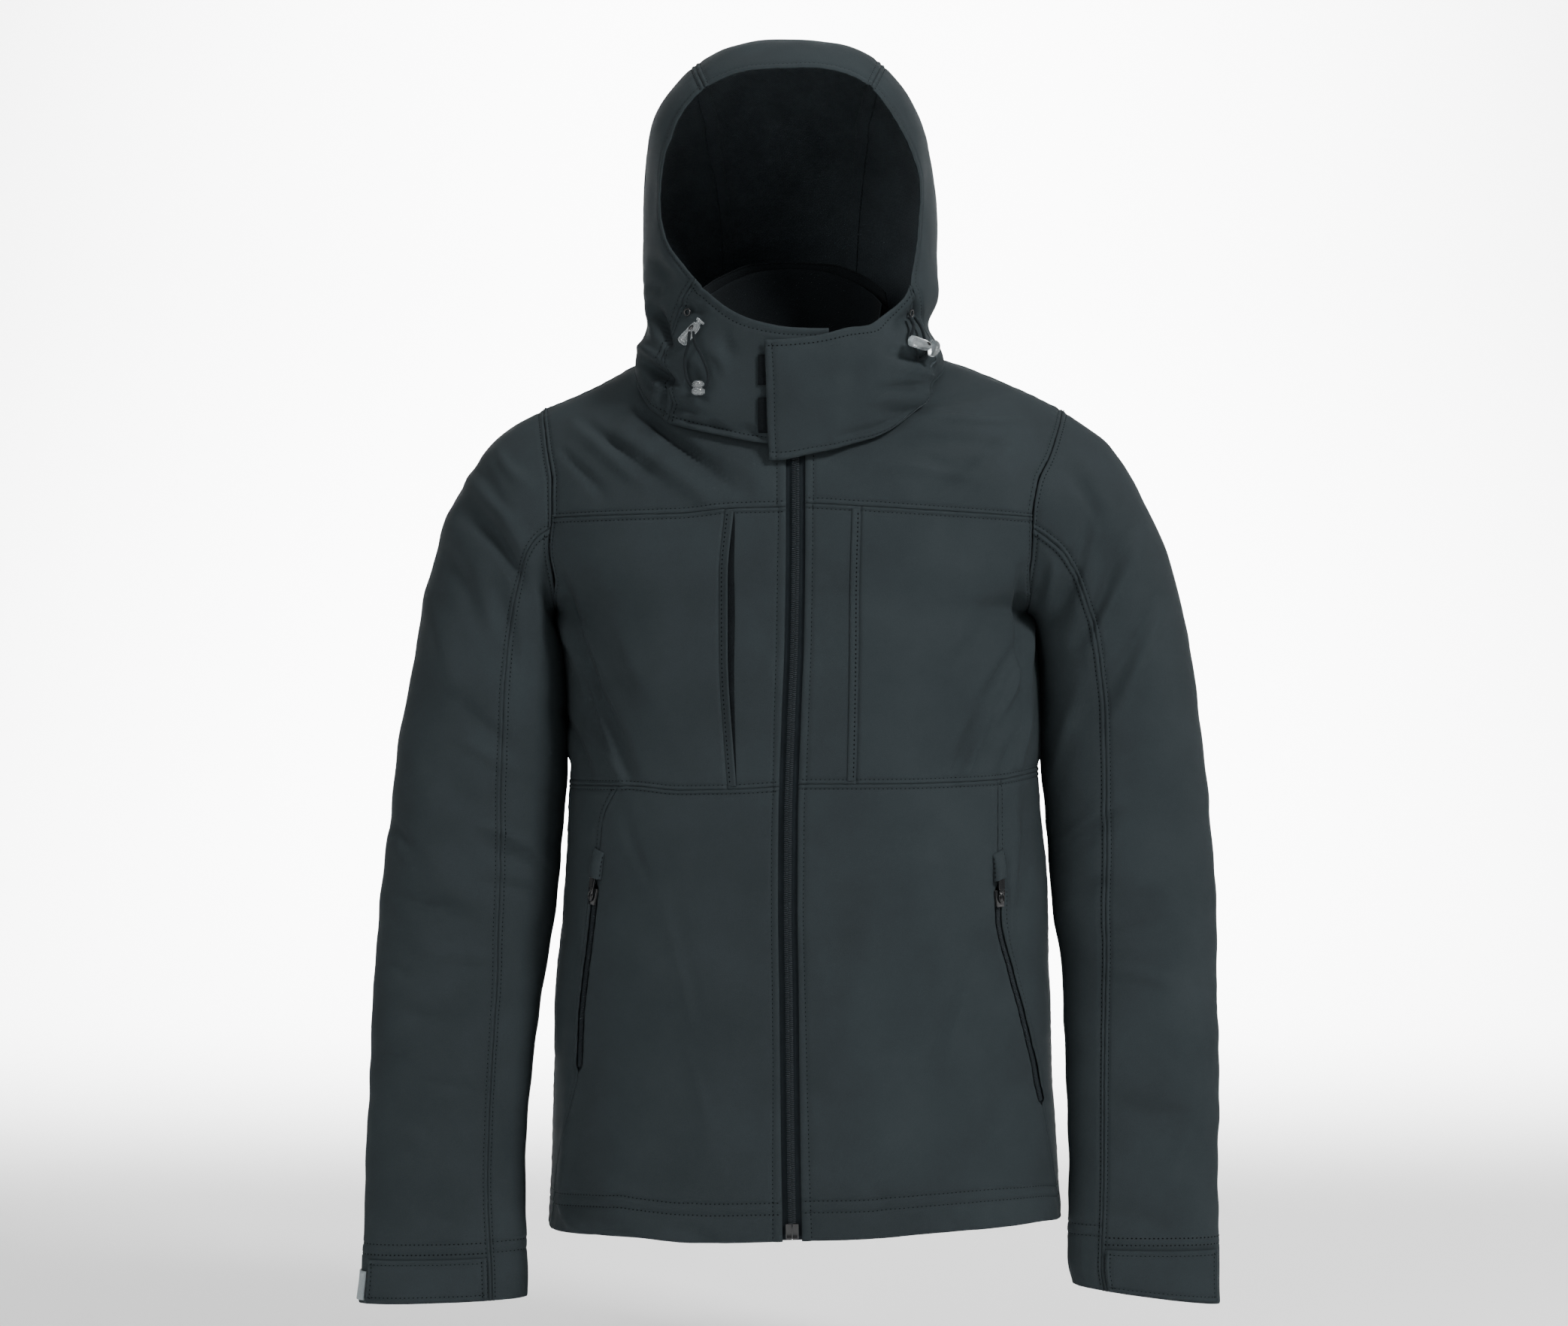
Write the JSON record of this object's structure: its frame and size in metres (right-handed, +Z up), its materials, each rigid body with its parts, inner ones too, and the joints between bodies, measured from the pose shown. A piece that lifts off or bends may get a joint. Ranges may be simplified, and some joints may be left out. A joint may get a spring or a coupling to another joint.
{
  "type": "softshell jacket",
  "caption": "Men's hooded softshell jacket with a wrapped chin band, closed front zip, chest welt pockets, slanted zip pockets and cuff tabs, filled out as worn, hollow.",
  "frame": {"origin": "between the shoulders at the height of the shoulder points, where a wearer's neck and shoulders hold the jacket up", "axes": "+Z up along the body, -Y to the front, +X towards the wearer's left"},
  "size_m": [0.7057, 0.2602, 1.0366],
  "materials": {
    "softshell": "matte woven face, dark slate grey",
    "zip_tape": "matte woven tape",
    "zip_teeth": "satin",
    "black_hardware": "gloss",
    "clear_plastic": "clear",
    "elastic_cord": "matte braided",
    "hook_tape": "matte hook tape",
    "grey_patch": "matte"
  },
  "bodies": {
    "root": {"back": "softshell", "chest_inner_left": "softshell", "chest_inner_right": "softshell", "chest_outer_left": "softshell", "chest_outer_right": "softshell", "chest_welt_left": "softshell", "chest_welt_right": "softshell", "chin_band": "softshell", "chin_flap": "softshell", "chin_hook_lower": "hook_tape", "chin_hook_upper": "hook_tape", "collar": "softshell", "cord_bead": "clear_plastic", "cord_eyelet_left": "black_hardware", "cord_eyelet_right": "black_hardware", "cord_left": "elastic_cord", "cord_lock_left": "clear_plastic", "cord_lock_right": "clear_plastic", "cord_right": "elastic_cord", "cuff_patch": "grey_patch", "cuff_tab_left": "softshell", "cuff_tab_right": "softshell", "front_yoke_left": "softshell", "front_yoke_right": "softshell", "hood_centre": "softshell", "hood_side_left": "softshell", "hood_side_right": "softshell", "lower_front_left": "softshell", "lower_front_right": "softshell", "lower_side_left": "softshell", "lower_side_right": "softshell", "pocket_coil_left": "zip_teeth", "pocket_coil_right": "zip_teeth", "pocket_garage_left": "softshell", "pocket_garage_right": "softshell", "pocket_pull_left": "black_hardware", "pocket_pull_right": "black_hardware", "pocket_slider_left": "black_hardware", "pocket_slider_right": "black_hardware", "pocket_tape_left": "zip_tape", "pocket_tape_right": "zip_tape", "sleeve_top_left": "softshell", "sleeve_top_right": "softshell", "sleeve_under_left": "softshell", "sleeve_under_right": "softshell", "zip_coil": "zip_teeth", "zip_retainer_box": "black_hardware", "zip_slider": "black_hardware", "zip_tape_left": "zip_tape", "zip_tape_right": "zip_tape"}
  },
  "joints": []
}
